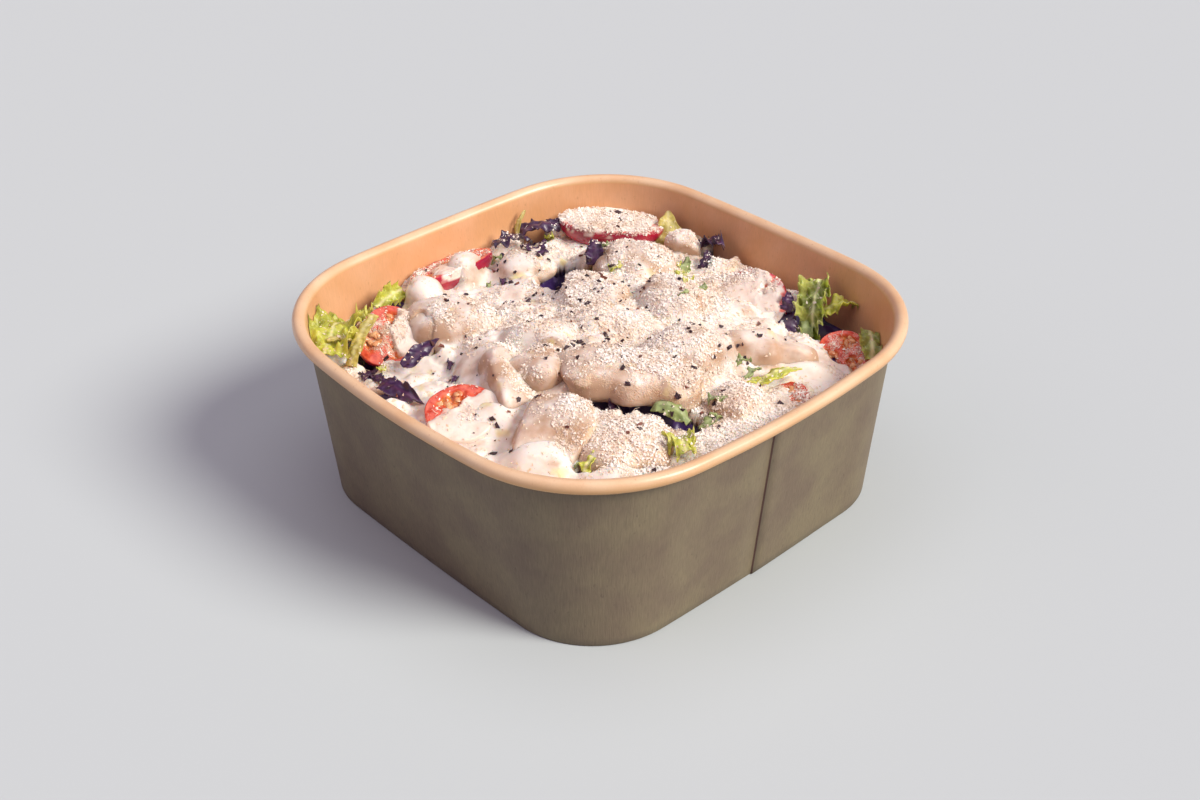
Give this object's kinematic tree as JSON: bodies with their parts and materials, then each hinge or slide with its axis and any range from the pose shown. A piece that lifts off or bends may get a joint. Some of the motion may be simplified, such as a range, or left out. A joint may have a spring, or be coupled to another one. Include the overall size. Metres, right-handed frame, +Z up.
{
  "type": "pasta salad in a paper bowl",
  "caption": "Dressed pasta salad with tomato halves, leaves, grated cheese and pepper, heaped in a square paperboard bowl with a rolled rim.",
  "frame": {"origin": "middle of the bowl's foot, on the surface that it stands on", "axes": "+Z up, the bowl's four sides face +X, -X, +Y and -Y, and the wall's lapped seam is on the +X side"},
  "size_m": [0.1708, 0.1708, 0.0678],
  "materials": {
    "kraft_board": "coated kraft paperboard, satin inside, matt outside",
    "base_board": "coated kraft paperboard, matt",
    "dressing": "creamy dressing, glossy where smooth",
    "chicken": "cooked meat under dressing, satin",
    "pasta": "boiled pasta under dressing, satin",
    "tomato": "tomato skin and wet flesh, glossy",
    "green_leaf": "lettuce leaf, satin",
    "red_leaf": "dark red-purple salad leaf, satin",
    "cheese": "finely grated hard cheese, matt",
    "pepper": "cracked black pepper, matt"
  },
  "bodies": {
    "root": {"bowl_base": "base_board", "bowl_wall": "kraft_board", "chicken_far_wall": "chicken", "chicken_left_near": "chicken", "chicken_near": "chicken", "chicken_near_right": "chicken", "chicken_peak": "chicken", "chicken_right": "chicken", "chicken_top_strip": "chicken", "lettuce_far_wedge": "green_leaf", "lettuce_left": "green_leaf", "lettuce_left_frill": "green_leaf", "lettuce_near_right": "green_leaf", "lettuce_right": "green_leaf", "lettuce_right_corner": "green_leaf", "lettuce_rim_frill": "green_leaf", "lettuce_stem_left": "green_leaf", "lettuce_tongue": "green_leaf", "pasta_far_left": "pasta", "pasta_far_slope": "pasta", "pasta_left_slope": "pasta", "pasta_left_wall_far": "pasta", "pasta_left_wall_near": "pasta", "pasta_near_right_wall": "pasta", "pasta_right_mid": "pasta", "pasta_top_left": "pasta", "pasta_top_right": "pasta", "red_leaf_blade": "red_leaf", "red_leaf_far": "red_leaf", "red_leaf_far_wall": "red_leaf", "red_leaf_left_far": "red_leaf", "red_leaf_rim": "red_leaf", "salad_bed": "dressing", "tomato_far_corner": "tomato", "tomato_left_far": "tomato", "tomato_left_near": "tomato", "tomato_near": "tomato", "tomato_near_right": "tomato", "tomato_right": "tomato", "tomato_right_far": "tomato"}
  },
  "joints": []
}
